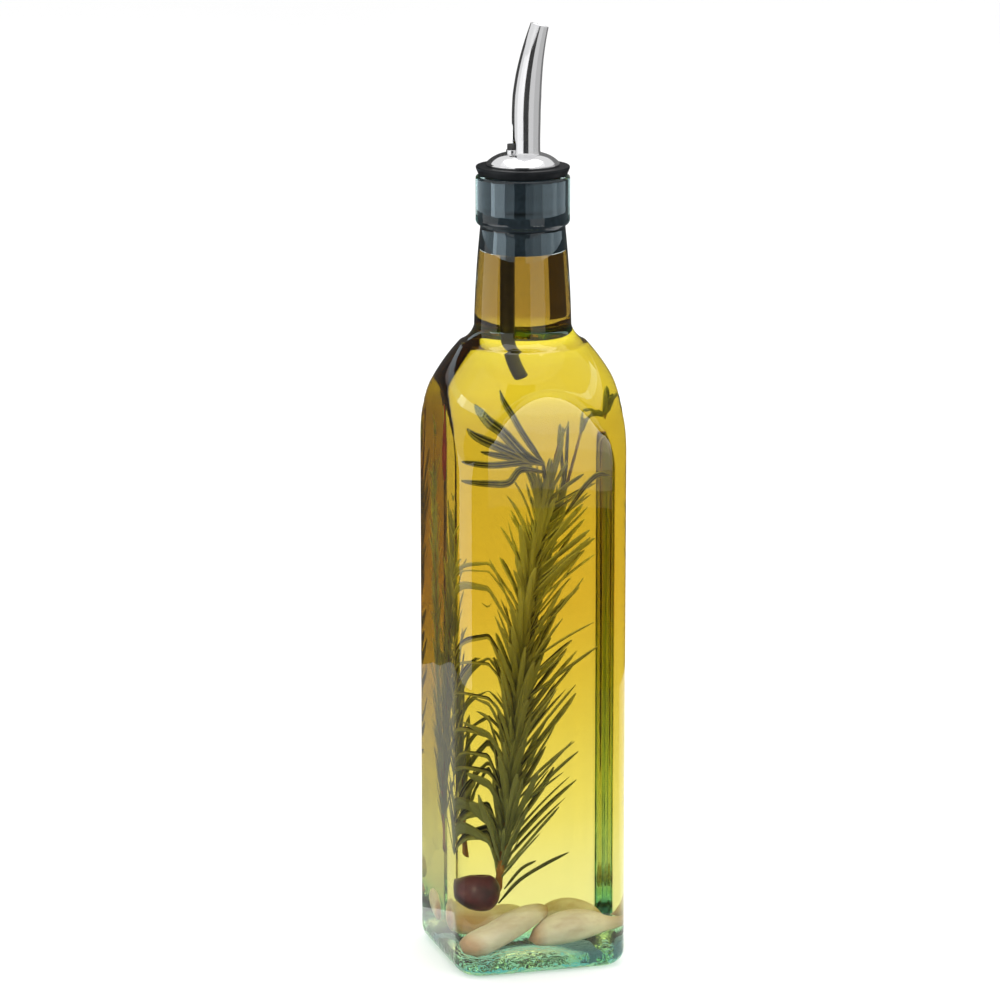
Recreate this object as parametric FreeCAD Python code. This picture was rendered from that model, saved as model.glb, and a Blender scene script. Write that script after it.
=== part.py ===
import FreeCAD, Part
import math
import os

from FreeCAD import Vector

# Square glass oil bottle with a pull-out pourer, filled with oil and herbs.
# Millimetres, +Z up, origin on the bottle's axis at the plane it stands on.
# The wide side that faces forward is the -Y side. The spout leans towards +X.

# Driving dimensions of the glass
SIDE = 57.2                 # across the flats
CORNER_R = 9.1              # vertical corners, outside
HEEL_R = 4.7                # rounding where the sides meet the base
GLASS_H = 258.0             # standing plane to the top of the finish
WALL = 3.0
FLOOR = 5.0                 # glass under the contents, beside the push-up
SHOULDER_R = 65.24          # radius of the arc that is turned into the shoulder
SHOULDER_Z = 160.3          # height at which that arc is upright
SHOULDER_MAX = 37.4         # its largest distance from the axis
PUNT_R = 19.0               # hollow under the base
PUNT_DEPTH = 3.5
PUSH_UP = 3.0               # height of the mound on the floor inside
RING_R = 15.1               # finish ring
RING_LOW = 242.0
BORE_R = 9.5

# Driving dimensions of the pourer
RUNNING = 0.05              # clearance between pieces that turn or slide
FLANGE_R = 15.05
FLANGE_TOP = 261.0
STOPPER_LOW = 233.2
SHANK_R = 6.0
SHEET = 0.6                 # thickness of the stainless sheet
DOME_R = 11.8
DOME_TOP = 265.0
SPOUT_X = 1.1               # spout axis at its foot
SPOUT_ARC_Z = 276.0         # height at which the spout starts to lean
SPOUT_ARC_R = 102.0
VENT_X = -3.5               # breather tube axis
VENT_R = 1.65
VENT_TOP = 268.0
LIP_H = 1.2                 # collar round the breather, above the dome
VENT_BEND_Z = 203.0
VENT_BEND_R = 36.0
VENT_BEND_TURN = math.radians(24.0)

# Driving dimensions of the contents
OIL_TOP = STOPPER_LOW - 0.3
OIL_GAP = 0.1               # between the oil and the glass
WELL_R = 6.4                # path kept free round the breather tube
WELL_LOW = 185.0
STEM_R = 1.1

UP = Vector(0, 0, 1)
ORIGIN = Vector(0, 0, 0)


def at(x, z):
    return Vector(x, 0, z)


def line(a, b):
    return Part.LineSegment(a, b).toShape()


def arc(a, b, c):
    return Part.Arc(a, b, c).toShape()


def turned(edges):
    """Solid of revolution about Z from a closed outline in the XZ plane."""
    face = Part.Face(Part.Wire(edges))
    return face.revolve(ORIGIN, UP, 360)


def ring(outer, inner, low, high):
    tube = Part.makeCylinder(outer, high - low, Vector(0, 0, low))
    return tube.cut(Part.makeCylinder(inner, high - low, Vector(0, 0, low)))


def square_prism(side, corner, low, high, heel):
    """Upright square bar with round corners and a rounded lower rim."""
    half = side / 2
    bar = Part.makeBox(side, side, high - low, Vector(-half, -half, low))
    upright = [e for e in bar.Edges if abs(e.tangentAt(e.FirstParameter).z) > 0.9]
    bar = bar.makeFillet(corner, upright)
    rim = [e for e in bar.Edges if e.BoundBox.ZMax < low + 0.01]
    return bar.makeFillet(heel, rim)


def shoulder_point(inset, z):
    """Point of the turned shoulder arc, inset from the outer surface."""
    reach = SHOULDER_R - inset
    centre = SHOULDER_MAX - SHOULDER_R
    return at(centre + math.sqrt(reach ** 2 - (z - SHOULDER_Z) ** 2), z)


def outer_form():
    """The bottle as a full body: square below, turned shoulder, neck and ring."""
    foot = shoulder_point(0, 203.9)
    root = at(15.66, 209.5)
    neck_top = at(13.6, RING_LOW)
    widest = at(SHOULDER_MAX, SHOULDER_Z)
    outline = [
        line(at(0, -1), at(SHOULDER_MAX, -1)),
        line(at(SHOULDER_MAX, -1), widest),
        arc(widest, shoulder_point(0, 186), foot),
        arc(foot, at(17.2, 206.5), root),
        arc(root, at(15.1, 223.5), neck_top),
        arc(neck_top, at(14.55, 242.45), at(RING_R, 243.6)),
        line(at(RING_R, 243.6), at(RING_R, GLASS_H - 0.9)),
        arc(at(RING_R, GLASS_H - 0.9), at(14.84, GLASS_H - 0.26), at(14.2, GLASS_H)),
        line(at(14.2, GLASS_H), at(0, GLASS_H)),
        line(at(0, GLASS_H), at(0, -1)),
    ]
    body = square_prism(SIDE, CORNER_R, 0, GLASS_H + 1, HEEL_R)
    return body.common(turned(outline))


def inner_form(gap, top):
    """The space inside the glass up to a height, shrunk by a gap all round."""
    inset = WALL + gap
    bore = BORE_R - gap
    widest = at(SHOULDER_MAX - inset, SHOULDER_Z)
    foot = shoulder_point(inset, 201.5)
    flare = at(12.0 - gap, 211)
    bore_low = at(bore, 224)
    low = FLOOR + gap
    outline = [
        line(at(0, low - 1), at(widest.x, low - 1)),
        line(at(widest.x, low - 1), widest),
        arc(widest, shoulder_point(inset, 186), foot),
        arc(foot, at(14.5 - gap, 205.5), flare),
        arc(flare, at(10.35 - gap, 217), bore_low),
        line(bore_low, at(bore, top)),
        line(at(bore, top), at(0, top)),
        line(at(0, top), at(0, low - 1)),
    ]
    side = SIDE - 2 * inset
    space = square_prism(side, CORNER_R - inset, low, top + 1, 5.0)
    space = space.common(turned(outline))
    mound_r = 70.0 + gap
    mound = Part.makeSphere(mound_r, Vector(0, 0, FLOOR + PUSH_UP - 70.0))
    return space.cut(mound)


def glass_bottle():
    glass = outer_form().cut(inner_form(0, GLASS_H + 0.5))
    radius = (PUNT_R ** 2 + PUNT_DEPTH ** 2) / (2 * PUNT_DEPTH)
    return glass.cut(Part.makeSphere(radius, Vector(0, 0, PUNT_DEPTH - radius)))


def stopper():
    """Soft rubber stopper: flange on the finish, tapered plug with four ribs."""
    low = GLASS_H + RUNNING
    rib = BORE_R - RUNNING
    points = [
        (SHANK_R + RUNNING, FLANGE_TOP), (14.6, FLANGE_TOP), (FLANGE_R, FLANGE_TOP - 0.4),
        (FLANGE_R, FLANGE_TOP - 0.9), (14.0, low), (rib, low),
        (rib, 252.9), (rib - 0.35, 252.6), (rib - 0.35, 252.2), (rib - 0.05, 251.9),
        (rib - 0.1, 247.4), (rib - 0.45, 247.1), (rib - 0.45, 246.7), (rib - 0.15, 246.4),
        (rib - 0.2, 241.5), (rib - 0.55, 241.2), (rib - 0.55, 240.6), (rib - 0.3, 240.3),
        (rib - 0.5, 234.2), (rib - 1.2, STOPPER_LOW), (SHANK_R + RUNNING, STOPPER_LOW),
    ]
    corners = [at(r, z) for r, z in points]
    edges = [line(a, b) for a, b in zip(corners, corners[1:] + corners[:1])]
    return turned(edges)


def dome_outline(offset):
    """Turned outline of the stainless dome, offset inwards by a thickness."""
    low = FLANGE_TOP + RUNNING
    rim = at(DOME_R - offset, low + 0.8)
    crown = at(6.2, DOME_TOP - offset)
    return [
        line(at(0, low), at(rim.x, low)),
        line(at(rim.x, low), rim),
        arc(rim, at(9.6 - offset * 0.8, DOME_TOP - 1.35 - offset), crown),
        line(crown, at(0, crown.z)),
        line(at(0, crown.z), at(0, low)),
    ]


def dome_cap():
    shell = turned(dome_outline(0)).cut(turned(dome_outline(SHEET)))
    lip_low = Vector(VENT_X, 0, DOME_TOP - SHEET)
    shell = shell.fuse(Part.makeCylinder(VENT_R + 0.35, LIP_H + SHEET, lip_low))
    hole = Part.makeCylinder(4.35, 8, Vector(SPOUT_X, 0, FLANGE_TOP))
    vent = Part.makeCylinder(VENT_R, 8, Vector(VENT_X, 0, FLANGE_TOP))
    return shell.cut(hole).cut(vent)


def spout_body(thickness):
    """Loft of round sections that run straight up and then lean over."""
    straight = [(264.0, 4.3), (269.5, 4.45), (SPOUT_ARC_Z, 4.67)]
    leaning = [(4.0, 4.65), (7.5, 4.3), (10.5, 3.95), (13.8, 3.5), (17.0, 2.95)]
    sections = []
    for z, radius in straight:
        ring_edge = Part.makeCircle(radius - thickness, Vector(SPOUT_X, 0, z), UP)
        sections.append(Part.Wire(ring_edge))
    for degrees, radius in leaning:
        turn = math.radians(degrees)
        reach = SPOUT_ARC_R * (1 - math.cos(turn))
        rise = SPOUT_ARC_R * math.sin(turn)
        centre = Vector(SPOUT_X + reach, 0, SPOUT_ARC_Z + rise)
        along = Vector(math.sin(turn), 0, math.cos(turn))
        ring_edge = Part.makeCircle(radius - thickness, centre, along)
        sections.append(Part.Wire(ring_edge))
    return Part.makeLoft(sections, True)


def pour_spout():
    """Curved tapered tube with a pointed slot at its foot for the breather."""
    tube = spout_body(0).cut(spout_body(SHEET))
    mouth = Part.makeCylinder(VENT_R + 0.4, 5.0, Vector(VENT_X, 0, 263))
    tip = Part.makeCone(VENT_R + 0.4, 0.2, 6.0, Vector(VENT_X, 0, 268))
    return tube.cut(mouth).cut(tip)


def spout_shank():
    return ring(SHANK_R, SHANK_R - 0.5, STOPPER_LOW, DOME_TOP - SHEET)


def vent_path(end_z):
    top = at(VENT_X, end_z)
    start = at(VENT_X, VENT_BEND_Z)
    turns = [VENT_BEND_TURN / 2, VENT_BEND_TURN]
    bend = []
    for turn in turns:
        x = VENT_X + VENT_BEND_R * (1 - math.cos(turn))
        z = VENT_BEND_Z - VENT_BEND_R * math.sin(turn)
        bend.append(at(x, z))
    return Part.Wire([line(top, start), arc(start, bend[0], bend[1])])


def breather_tube():
    """Thin plastic tube, hollow, from its stub by the spout to its bent end."""
    path = vent_path(VENT_TOP)
    solids = []
    for radius in (VENT_R, VENT_R - 0.55):
        profile = Part.Wire(Part.makeCircle(radius, at(VENT_X, VENT_TOP), UP))
        solids.append(path.makePipeShell([profile], True, False))
    return solids[0].cut(solids[1])


def clove(length, width, centre, heading, pitch):
    """Garlic clove: a plump teardrop, flattened a little, lying on its side."""
    r = width / 2
    end = length / 2
    edges = [
        arc(at(0, -end), at(r * 0.62, -end * 0.86), at(r, -end * 0.35)),
        arc(at(r, -end * 0.35), at(r * 0.78, end * 0.35), at(0.6, end)),
        line(at(0.6, end), at(0, end)),
        line(at(0, end), at(0, -end)),
    ]
    shape = turned(edges)
    flatten = FreeCAD.Matrix()
    flatten.scale(0.82, 1.0, 1.0)
    shape = shape.transformGeometry(flatten)
    shape.rotate(ORIGIN, Vector(0, 1, 0), 90 - pitch)
    shape.rotate(ORIGIN, UP, heading)
    shape.translate(centre)
    return shape


def rod(points, radius):
    """Bent rod: straight runs joined by tangent arcs."""
    edges = []
    last = points[0]
    for before, point, after in zip(points, points[1:], points[2:]):
        back = (before - point).normalize()
        ahead = (after - point).normalize()
        half_turn = (math.pi - back.getAngle(ahead)) / 2
        cut = 0.45 * min((before - point).Length, (after - point).Length)
        bend = cut / math.tan(half_turn)
        middle = (back + ahead).normalize()
        nearest = bend / math.cos(half_turn) - bend
        start = point + back * cut
        edges.append(line(last, start))
        last = point + ahead * cut
        edges.append(arc(start, point + middle * nearest, last))
    edges.append(line(last, points[-1]))
    path = Part.Wire(edges)
    profile = Part.Wire(Part.makeCircle(radius, points[0], points[1] - points[0]))
    return path.makePipeShell([profile], True, False)


def foliage(points, radii):
    """Outer form of the needles round a stem, as a loft of upright rounds."""
    sections = []
    for point, radius in zip(points, radii):
        sections.append(Part.Wire(Part.makeCircle(radius, point, UP)))
    return Part.makeLoft(sections, True)


# Three rosemary sprigs, each as the points its stem passes from foot to tip,
# with the reach of its needles at each point.
SPRIGS = [
    ([(-13.2, -9, 25), (-10, -9.5, 50), (-6.5, -9, 88), (-2.5, -8.5, 125), (3, -7, 153), (8, -5, 172)],
     [2.4, 6.5, 9.5, 9.5, 8.5, 5.0]),
    ([(-7, 10, 34), (-4.5, 10.5, 62), (-0.5, 9.5, 98), (5.5, 8, 132), (13, 7, 157), (17.5, 6, 174)],
     [2.6, 5.5, 7.5, 8.0, 7.0, 4.0]),
    ([(-16, 2, 36), (-18.5, 3, 55), (-19.5, 6.5, 84), (-19.5, 8.5, 117), (-19, 11, 148), (-17, 12, 172)],
     [2.4, 4.5, 5.5, 5.5, 5.0, 3.0]),
]

# Cloves: length, width, centre, heading and pitch in degrees.
CLOVES = [
    (29, 10.5, (-11.0, -17.4, 14.6), 12, 24),
    (29, 11.5, (10.5, -16.0, 12.2), 6, 4),
    (22, 10.5, (-9.5, -1.0, 13.9), 28, 0),
    (22, 10.5, (13.0, 1.5, 13.5), -10, 0),
    (20, 10.0, (-13.8, 16.2, 12.7), 64, 4),
]


def olive():
    egg = Part.makeSphere(5.2)
    stretch = FreeCAD.Matrix()
    stretch.scale(1.0, 1.0, 1.2)
    egg = egg.transformGeometry(stretch)
    egg.translate(Vector(-18.9, -17.4, 27.2))
    return egg


def dried_chili():
    """Small dried pepper, widest near its stalk."""
    low = 160.0
    edges = [
        line(at(0, low), at(0.5, low)),
        arc(at(0.5, low), at(2.3, low + 13), at(2.6, low + 20)),
        arc(at(2.6, low + 20), at(2.0, low + 24), at(0.7, low + 25.5)),
        line(at(0.7, low + 25.5), at(0, low + 25.5)),
        line(at(0, low + 25.5), at(0, low)),
    ]
    pod = turned(edges)
    pod.translate(Vector(-21.0, -3.0, 0))
    return pod


def contents():
    """Everything that lies or floats in the oil, by node name."""
    pieces = {}
    for number, (points, reach) in enumerate(SPRIGS, 1):
        path = [Vector(*p) for p in points]
        stem = rod(path, STEM_R)
        pieces[f"rosemary_stem_{number}"] = stem
        pieces[f"rosemary_leaves_{number}"] = foliage(path, reach).cut(stem)
    for number, (length, width, centre, heading, pitch) in enumerate(CLOVES, 1):
        shape = clove(length, width, Vector(*centre), heading, pitch)
        pieces[f"garlic_clove_{number}"] = shape
    pieces["olive"] = olive()
    pieces["dried_chili"] = dried_chili()
    return pieces


def oil_fill(immersed):
    """The oil, with the immersed pieces and the breather tube's path left out."""
    oil = inner_form(OIL_GAP, OIL_TOP)
    oil = oil.cut(Part.makeCylinder(WELL_R, OIL_TOP - WELL_LOW, Vector(0, 0, WELL_LOW)))
    for shape in immersed:
        oil = oil.cut(shape)
    return oil


def nodes():
    pieces = contents()
    pieces["oil_fill"] = oil_fill(list(pieces.values()))
    pieces["glass_bottle"] = glass_bottle()
    pieces["stopper"] = stopper()
    pieces["dome_cap"] = dome_cap()
    pieces["pour_spout"] = pour_spout()
    pieces["spout_shank"] = spout_shank()
    pieces["breather_tube"] = breather_tube()
    return pieces


os.makedirs("parts", exist_ok=True)
for name, shape in nodes().items():
    shape.exportStep(f"parts/{name}.step")
    print(name, shape.isValid(), len(shape.Solids), round(shape.Volume), shape.BoundBox)
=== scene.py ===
import math
import random

import bmesh
import bpy
import numpy as np
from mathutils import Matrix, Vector

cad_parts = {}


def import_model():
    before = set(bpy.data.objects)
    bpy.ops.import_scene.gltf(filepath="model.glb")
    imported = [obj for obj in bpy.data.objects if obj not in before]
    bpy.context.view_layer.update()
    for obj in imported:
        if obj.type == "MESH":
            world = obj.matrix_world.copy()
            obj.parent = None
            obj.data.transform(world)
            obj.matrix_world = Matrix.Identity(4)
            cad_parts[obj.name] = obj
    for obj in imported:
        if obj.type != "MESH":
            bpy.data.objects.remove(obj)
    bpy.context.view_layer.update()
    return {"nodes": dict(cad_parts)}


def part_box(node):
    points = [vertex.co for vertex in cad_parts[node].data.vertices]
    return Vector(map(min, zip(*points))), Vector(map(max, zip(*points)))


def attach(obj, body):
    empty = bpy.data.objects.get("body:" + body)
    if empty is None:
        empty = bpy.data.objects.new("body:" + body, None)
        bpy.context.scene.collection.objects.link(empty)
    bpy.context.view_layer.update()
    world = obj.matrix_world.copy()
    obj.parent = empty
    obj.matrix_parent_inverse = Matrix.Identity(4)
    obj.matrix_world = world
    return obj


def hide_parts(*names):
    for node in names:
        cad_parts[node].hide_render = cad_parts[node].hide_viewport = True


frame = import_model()

# Everything is in metres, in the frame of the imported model: origin on the bottle's axis in the
# plane it stands on, +Z up. The form of the glass is repeated here from its driving dimensions.
MM = 0.001

# The glass
GLASS_LOW, GLASS_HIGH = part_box("glass_bottle")
SIDE = GLASS_HIGH.x - GLASS_LOW.x
GLASS_H = GLASS_HIGH.z
CORNER_R = 9.1 * MM
HEEL_R = 4.7 * MM
WALL = 3.0 * MM
FLOOR = 5.0 * MM
INNER_HEEL_R = 5.0 * MM
PUSH_UP = 3.0 * MM
PUSH_UP_R = 70.0 * MM
PUNT_R = 19.0 * MM
PUNT_DEPTH = 3.5 * MM
SHOULDER_R = 65.24 * MM
SHOULDER_Z = 160.3 * MM
SHOULDER_MAX = 37.4 * MM
BORE_R = 9.5 * MM
OIL_OVERLAP = 0.05 * MM          # the oil wets the glass, so it reaches just into it
STEEPED_GAP = 0.25 * MM          # what floats in the oil keeps this far from the glass
OIL_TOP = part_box("stopper")[0].z - 0.1 * MM
GROOVES = (252.4, 246.9, 240.9)   # heights of the stopper's grooves, in millimetres

# The pourer
VENT_X = -3.5 * MM
VENT_R = 1.65 * MM
VENT_BORE_R = 1.1 * MM
SPOUT_X = 1.1 * MM
SPOUT_FOOT_Z = 264.4 * MM
SPOUT_ARC_Z = 276.0 * MM
SPOUT_ARC_R = 102.0 * MM
SLOT_TOP_Z = 274.5 * MM
SHEET = 0.6 * MM

# The highest point of the herbs, and the bearing that the camera looks from
HERBS_H = 190.0 * MM
CAMERA_AZIMUTH = math.radians(-16.24)


# ---------------------------------------------------------------- mesh helpers

def make_object(name, verts, faces, material, body=None, nodes=(), slot=None, smooth=True):
    mesh = bpy.data.meshes.new(name)
    mesh.from_pydata([tuple(v) for v in verts], [], faces)
    mesh.validate()
    mesh.update()
    obj = bpy.data.objects.new(name, mesh)
    bpy.context.scene.collection.objects.link(obj)
    mesh.materials.append(material)
    if smooth:
        mesh.polygons.foreach_set("use_smooth", [True] * len(mesh.polygons))
    if body:
        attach(obj, body)
    if nodes:
        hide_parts(*nodes)
    return obj


def ring_faces(rows, count, closed=True, first=0):
    """Quads between rows of points, each row a ring of count points."""
    faces = []
    for r in range(rows - 1):
        low, high = first + r * count, first + (r + 1) * count
        for i in range(count if closed else count - 1):
            j = (i + 1) % count
            faces.append((low + i, low + j, high + j, high + i))
    return faces


def capped_rings(rings, start, end):
    """Closed surface from a list of rings, with a single point before and after them."""
    count = len(rings[0])
    verts = [start] + [p for ring in rings for p in ring] + [end]
    faces = [(0, 1 + (i + 1) % count, 1 + i) for i in range(count)]
    faces += ring_faces(len(rings), count, first=1)
    last = 1 + (len(rings) - 1) * count
    faces += [(last + i, last + (i + 1) % count, len(verts) - 1) for i in range(count)]
    return verts, faces


def looped_rings(rings):
    """Closed surface from a list of rings, the last of which joins the first."""
    count = len(rings[0])
    verts = [p for ring in rings for p in ring]
    faces = ring_faces(len(rings), count)
    last = (len(rings) - 1) * count
    for i in range(count):
        j = (i + 1) % count
        faces.append((last + i, last + j, j, i))
    return verts, faces


def turned_ring(profile, count=128):
    """Closed ring of revolution from a closed loop of (radius, z) points."""
    angles = [2 * math.pi * i / count for i in range(count)]
    return looped_rings([[(r * math.cos(a), r * math.sin(a), z) for a in angles] for r, z in profile])


def sweep(points, radius, count=32):
    """Rings of points round a line of centres, each square to it."""
    rings = []
    for i, point in enumerate(points):
        before, after = points[max(i - 1, 0)], points[min(i + 1, len(points) - 1)]
        along = (after - before).normalized()
        side = Vector((0, 1, 0)).cross(along).normalized()
        other = along.cross(side)
        turns = [2 * math.pi * k / count for k in range(count)]
        rings.append([point + side * (radius * math.cos(t)) + other * (radius * math.sin(t)) for t in turns])
    return rings


def pipe_mesh(points, radius, bore):
    """Hollow pipe along a line, closed at its ends by flat rims."""
    return looped_rings(sweep(points, radius) + sweep(points, bore)[::-1])


def arc_points(a, b, c, steps):
    """Points on the arc from a through b to c, in the plane of (radius, z)."""
    (ax, ay), (bx, by), (cx, cy) = a, b, c
    d = 2 * (ax * (by - cy) + bx * (cy - ay) + cx * (ay - by))
    aa, bb, cc = ax * ax + ay * ay, bx * bx + by * by, cx * cx + cy * cy
    ux = (aa * (by - cy) + bb * (cy - ay) + cc * (ay - by)) / d
    uy = (aa * (cx - bx) + bb * (ax - cx) + cc * (bx - ax)) / d
    radius = math.hypot(ax - ux, ay - uy)
    start, middle, end = (math.atan2(y - uy, x - ux) for x, y in (a, b, c))
    sweep = (end - start) % (2 * math.pi)
    if (middle - start) % (2 * math.pi) > sweep:
        sweep -= 2 * math.pi
    turns = [start + sweep * i / steps for i in range(steps + 1)]
    return [(ux + radius * math.cos(t), uy + radius * math.sin(t)) for t in turns]


def scaled(points):
    return [(x * MM, y * MM) for x, y in points]


def weld(obj, distance=0.002 * MM):
    form = bmesh.new()
    form.from_mesh(obj.data)
    bmesh.ops.remove_doubles(form, verts=form.verts, dist=distance)
    bmesh.ops.recalc_face_normals(form, faces=form.faces)
    form.to_mesh(obj.data)
    form.free()


# ---------------------------------------------------------------- bottle form

def directions():
    """Angles round the bottle, closer together in the round corners."""
    flat = np.linspace(-34.0, 34.0, 19)[:-1]
    corner = np.linspace(34.0, 56.0, 19)[:-1]
    quarter = np.concatenate([flat, corner])
    return np.radians(np.concatenate([quarter + 90 * q for q in range(4)]))


THETA = directions()


def square_radius(half, corner):
    """Distance from the axis to a rounded square, in each direction."""
    turn = np.abs((THETA + math.pi / 4) % (math.pi / 2) - math.pi / 4)
    centre = half - corner
    total = centre * (np.cos(turn) + np.sin(turn))
    inside = np.maximum(total ** 2 - 2 * centre ** 2 + corner ** 2, 0)
    round_part = total + np.sqrt(inside)
    flat_part = half / np.cos(turn)
    return np.where(half * np.tan(turn) <= centre, flat_part, round_part)


def soft_least(a, b, width):
    """The smaller of two distances, with the crease between them rounded off."""
    if width <= 0:
        return np.minimum(a, b)
    share = np.clip(0.5 + 0.5 * (b - a) / width, 0, 1)
    return b * (1 - share) + a * share - width * share * (1 - share)


def shoulder_radius(inset, z):
    reach = SHOULDER_R - inset
    return SHOULDER_MAX - SHOULDER_R + math.sqrt(reach ** 2 - (z - SHOULDER_Z) ** 2)


def ripple(z, amount):
    """Slight unevenness of moulded glass."""
    waves = [(2, 61, 0.4, 1.0), (3, 37, 1.9, 0.8), (5, 23, 4.1, 0.5), (4, 90, 2.6, 0.9)]
    total = np.zeros_like(THETA)
    for lobes, length, phase, share in waves:
        total += share * np.sin(lobes * THETA + z / (length * MM) * 2 * math.pi + phase)
    return amount * total


def outer_rows():
    """(z, distances) from the middle of the base to the top of the finish."""
    rows = []
    sphere = (PUNT_R ** 2 + PUNT_DEPTH ** 2) / (2 * PUNT_DEPTH)
    for share in (0.12, 0.3, 0.5, 0.7, 0.88, 1.0):
        r = PUNT_R * share
        z = math.sqrt(sphere ** 2 - r ** 2) - (sphere - PUNT_DEPTH)
        rows.append((z, np.full_like(THETA, r)))
    rows.append((0.0, np.full_like(THETA, PUNT_R + 0.6 * MM)))
    for step in range(9):
        turn = math.pi / 2 * step / 8
        inset = HEEL_R * (1 - math.sin(turn))
        z = HEEL_R * (1 - math.cos(turn))
        rows.append((z, square_radius(SIDE / 2 - inset, CORNER_R - inset)))
    side = square_radius(SIDE / 2, CORNER_R)
    for z in np.linspace(9 * MM, 150 * MM, 40):
        rows.append((z, side - np.abs(ripple(z, 0.012 * MM))))
    for z in np.linspace(152 * MM, 203.5 * MM, 64):
        width = 0.9 * MM * min(1, (z - 150 * MM) / (20 * MM))
        rows.append((z, soft_least(side, shoulder_radius(0, z), width)))
    foot = (shoulder_radius(0, 203.9 * MM) / MM, 203.9)
    outline = arc_points(foot, (17.2, 206.5), (15.66, 209.5), 10)
    outline += arc_points((15.66, 209.5), (15.1, 223.5), (13.6, 242.0), 28)[1:]
    outline += arc_points((13.6, 242.0), (14.55, 242.45), (15.1, 243.6), 8)[1:]
    outline += [(15.1, 244.2 + 0.8 * i) for i in range(17)]
    outline += arc_points((15.1, 257.1), (14.84, 257.74), (14.2, 258.0), 6)
    outline += [(13.0, 258.0), (11.5, 258.0)]
    rows += [(z * MM, np.full_like(THETA, r * MM)) for r, z in outline]
    return rows


def inner_rows(grow, top):
    """(z, distances) from the bore at height top down to the middle of the floor."""
    rows = []
    bore = BORE_R + grow
    z_flare = 224 * MM
    for z in np.linspace(top, z_flare, 14):
        rows.append((z, np.full_like(THETA, bore)))
    grown = grow / MM
    outline = arc_points((9.5, 224), (10.35, 217), (12.0, 211), 12)[1:]
    foot = (shoulder_radius(WALL, 201.5 * MM) / MM, 201.5)
    outline += arc_points((12.0, 211), (14.5, 205.5), foot, 12)[1:]
    rows += [(z * MM, np.full_like(THETA, (r + grown) * MM)) for r, z in outline]
    side = square_radius(SIDE / 2 - WALL + grow, CORNER_R - WALL + grow)
    for z in np.linspace(201 * MM, 152 * MM, 60):
        width = 2.4 * MM * min(1, (z - 150 * MM) / (20 * MM))
        turned_part = shoulder_radius(WALL - grow, z)
        rows.append((z, soft_least(side, turned_part, width) + ripple(z, 0.04 * MM)))
    for z in np.linspace(149 * MM, 14 * MM, 46):
        rows.append((z, side + ripple(z, 0.04 * MM)))
    for step in range(9):
        turn = math.pi / 2 * (1 - step / 8)
        inset = INNER_HEEL_R * (1 - math.sin(turn))
        z = FLOOR - grow + INNER_HEEL_R * (1 - math.cos(turn))
        half = SIDE / 2 - WALL + grow - inset
        edge = square_radius(half, CORNER_R - WALL + grow - inset)
        rows.append((z, edge + ripple(z, 0.04 * MM) * (1 - step / 8)))
    for share in (0.97, 0.85, 0.7, 0.5, 0.3, 0.12):
        r = share * 20.3 * MM
        z = FLOOR + PUSH_UP - PUSH_UP_R + math.sqrt(PUSH_UP_R ** 2 - r ** 2) - grow
        rows.append((z, np.full_like(THETA, r)))
    return rows


def row_rings(rows):
    rings = []
    for z, r in rows:
        rings.append(list(zip(r * np.cos(THETA), r * np.sin(THETA), [z] * len(THETA))))
    return rings


def glass_mesh():
    """The glass, and the number of its first face that the oil wets."""
    rounding = arc_points((10.1, 258.0), (9.7, 257.85), (9.5, 257.4), 4)
    neck = rounding + [(BORE_R / MM, z) for z in (254.0, 249.0, 244.0, 239.0, 235.0)]
    dry = outer_rows() + [(z * MM, np.full_like(THETA, r * MM)) for r, z in neck]
    rows = dry + inner_rows(0, OIL_TOP)
    verts, faces = capped_rings(row_rings(rows), (0, 0, PUNT_DEPTH), (0, 0, FLOOR + PUSH_UP))
    return verts, faces, (len(dry) + 1) * len(THETA)


def oil_mesh():
    cap = [(OIL_TOP, np.full_like(THETA, BORE_R * s)) for s in (0.3, 0.6, 0.9)]
    rows = (cap + inner_rows(OIL_OVERLAP, OIL_TOP))[::-1]
    return capped_rings(row_rings(rows), (0, 0, FLOOR + PUSH_UP - OIL_OVERLAP), (0, 0, OIL_TOP))


# ---------------------------------------------------------------- materials

def new_material(name):
    """A material, its node tree and its Principled shader."""
    material = bpy.data.materials.new(name)
    material.use_nodes = True
    tree = material.node_tree
    shader = tree.nodes["Principled BSDF"]
    return material, tree, shader


def set_inputs(node, values):
    for key, value in values.items():
        node.inputs[key].default_value = value


def add_node(tree, kind, inputs=None, **settings):
    node = tree.nodes.new(kind)
    for key, value in settings.items():
        setattr(node, key, value)
    set_inputs(node, inputs or {})
    return node


def colour_ramp(tree, source, stops):
    ramp = add_node(tree, "ShaderNodeValToRGB")
    band = ramp.color_ramp
    while len(band.elements) < len(stops):
        band.elements.new(0.5)
    for element, (position, colour) in zip(band.elements, stops):
        element.position = position
        element.color = (*colour, 1)
    tree.links.new(source, ramp.inputs["Fac"])
    return ramp.outputs["Color"]


def grey_ramp(tree, source, stops):
    return colour_ramp(tree, source, [(position, (grey, grey, grey)) for position, grey in stops])


def object_noise(tree, scale, detail=4.0, stretch=(1, 1, 1), roughness=0.5):
    """Noise in the object's own space, in features per metre."""
    place = add_node(tree, "ShaderNodeTexCoord")
    shape = add_node(tree, "ShaderNodeMapping", {"Scale": stretch})
    noise = add_node(tree, "ShaderNodeTexNoise", {"Scale": scale, "Detail": detail, "Roughness": roughness})
    tree.links.new(place.outputs["Object"], shape.inputs["Vector"])
    tree.links.new(shape.outputs["Vector"], noise.inputs["Vector"])
    return noise.outputs["Fac"]


def add_bump(tree, shader, height, distance, strength=1.0):
    bump = add_node(tree, "ShaderNodeBump", {"Strength": strength, "Distance": distance})
    tree.links.new(height, bump.inputs["Height"])
    tree.links.new(bump.outputs["Normal"], shader.inputs["Normal"])


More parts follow.
